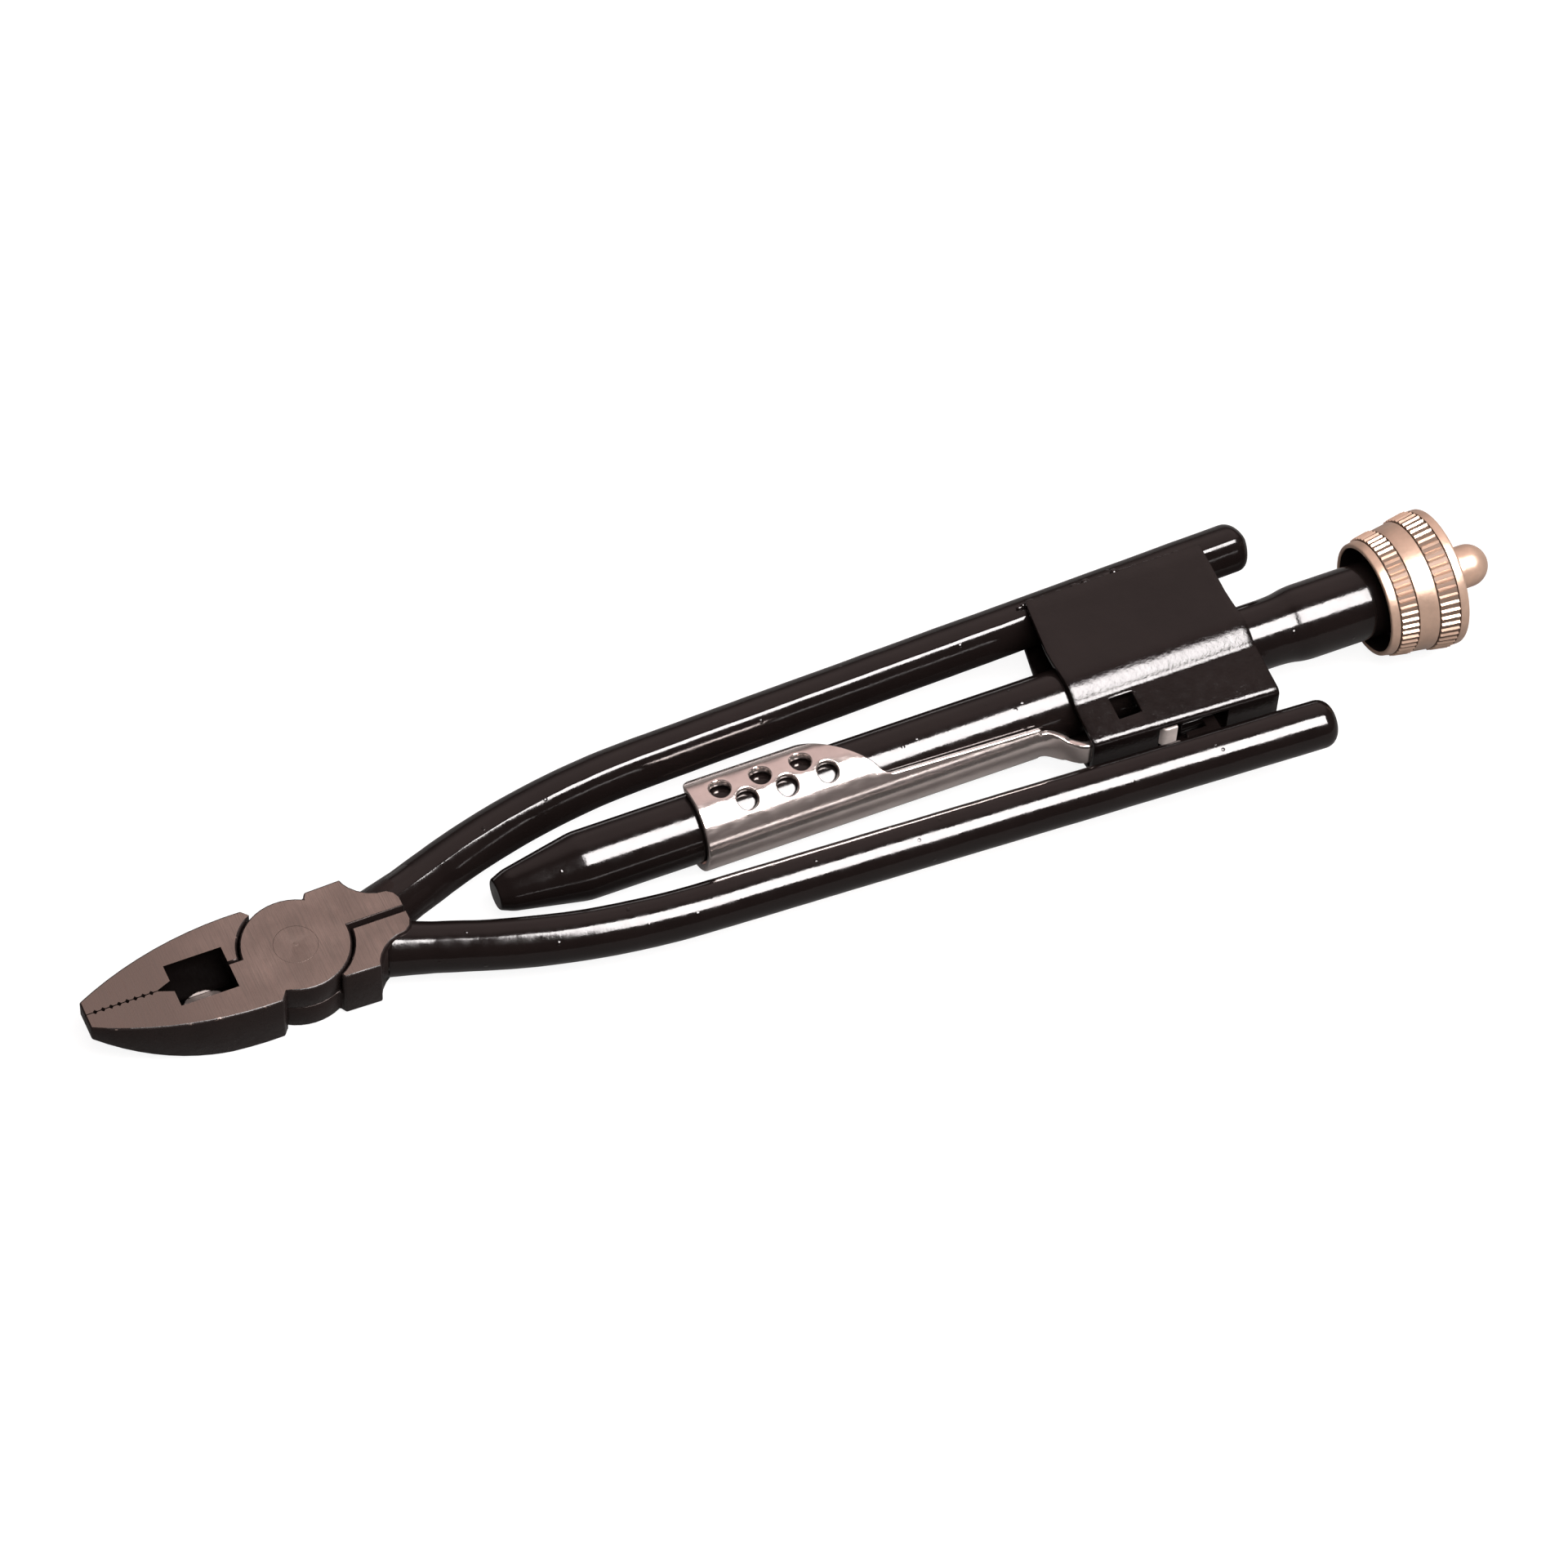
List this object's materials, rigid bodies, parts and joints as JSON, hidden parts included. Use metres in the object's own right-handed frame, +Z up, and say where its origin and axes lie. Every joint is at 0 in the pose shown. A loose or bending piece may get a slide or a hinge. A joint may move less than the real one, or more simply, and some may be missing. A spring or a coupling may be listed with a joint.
{
  "type": "safety wire pliers",
  "caption": "Lock-wire twisting pliers: crossed levers with cutter jaws, a sliding handle lock, and a pull knob on a twisted rod in a barrel.",
  "frame": {"origin": "on the pivot axis, at the flat underside of the head", "axes": "+X from the jaws towards the knob along the barrel, +Y towards the handle that carries the housing, +Z up out of the head's ground face"},
  "size_m": [0.2808, 0.0532, 0.0264],
  "materials": {
    "lever_finish": "forged steel, head ground bright on its flats, handles in gloss black paint",
    "head_steel": "ground flush, brown-grey",
    "black_paint": "thick gloss black paint with runs and specks",
    "bright_nickel": "bright nickel plate on spring steel",
    "satin_nickel": "warm satin nickel plate",
    "inner_steel": "plain machined steel, oiled",
    "bronze": "plain machined bronze"
  },
  "bodies": {
    "root": {"frame_lever": "lever_finish", "pivot_rivet": "head_steel", "latch_housing": "black_paint", "barrel_tube": "black_paint", "drive_nut": "bronze", "nut_clip": "inner_steel"},
    "near_lever": {"swing_lever": "lever_finish", "catch_plate": "black_paint"},
    "slide": {"lock_slide": "bright_nickel"},
    "carrier": {"thrust_washer": "bronze"},
    "rod": {"twist_rod": "inner_steel", "rod_stop": "bronze", "ratchet_wheel": "inner_steel", "rod_clip": "inner_steel"},
    "knob": {"knob_shell": "satin_nickel", "knob_cap": "satin_nickel", "knob_bush": "bronze", "pawl_pins": "inner_steel", "pawls": "inner_steel", "pawl_springs": "inner_steel"},
    "selector": {"selector_pin": "satin_nickel"}
  },
  "joints": [
    {"name": "jaw_pivot", "type": "hinge", "parent": "root", "child": "near_lever", "pos_m": [0, 0, 0], "axis": [0, 0, -1], "range_deg": [0, 40]},
    {"name": "lock_slide_travel", "type": "slide", "parent": "root", "child": "slide", "axis": [1, 0, 0], "range_m": [0, 0.0035]},
    {"name": "knob_pull", "type": "slide", "parent": "root", "child": "carrier", "axis": [1, 0, 0], "range_m": [0, 0.13]},
    {"name": "rod_twist", "type": "hinge", "parent": "carrier", "child": "rod", "pos_m": [0.2, 0, 0.0055], "axis": [-1, 0, 0], "range_deg": [0, 1171]},
    {"name": "knob_spin", "type": "hinge", "parent": "carrier", "child": "knob", "pos_m": [0.22, 0, 0.0055], "axis": [1, 0, 0], "continuous": true},
    {"name": "selector_push", "type": "slide", "parent": "knob", "child": "selector", "axis": [-1, 0, 0], "range_m": [0, 0.002]}
  ],
  "couplings": [
    {"joint": "rod_twist", "follows": "knob_pull", "rad_per_m": 157.08}
  ]
}
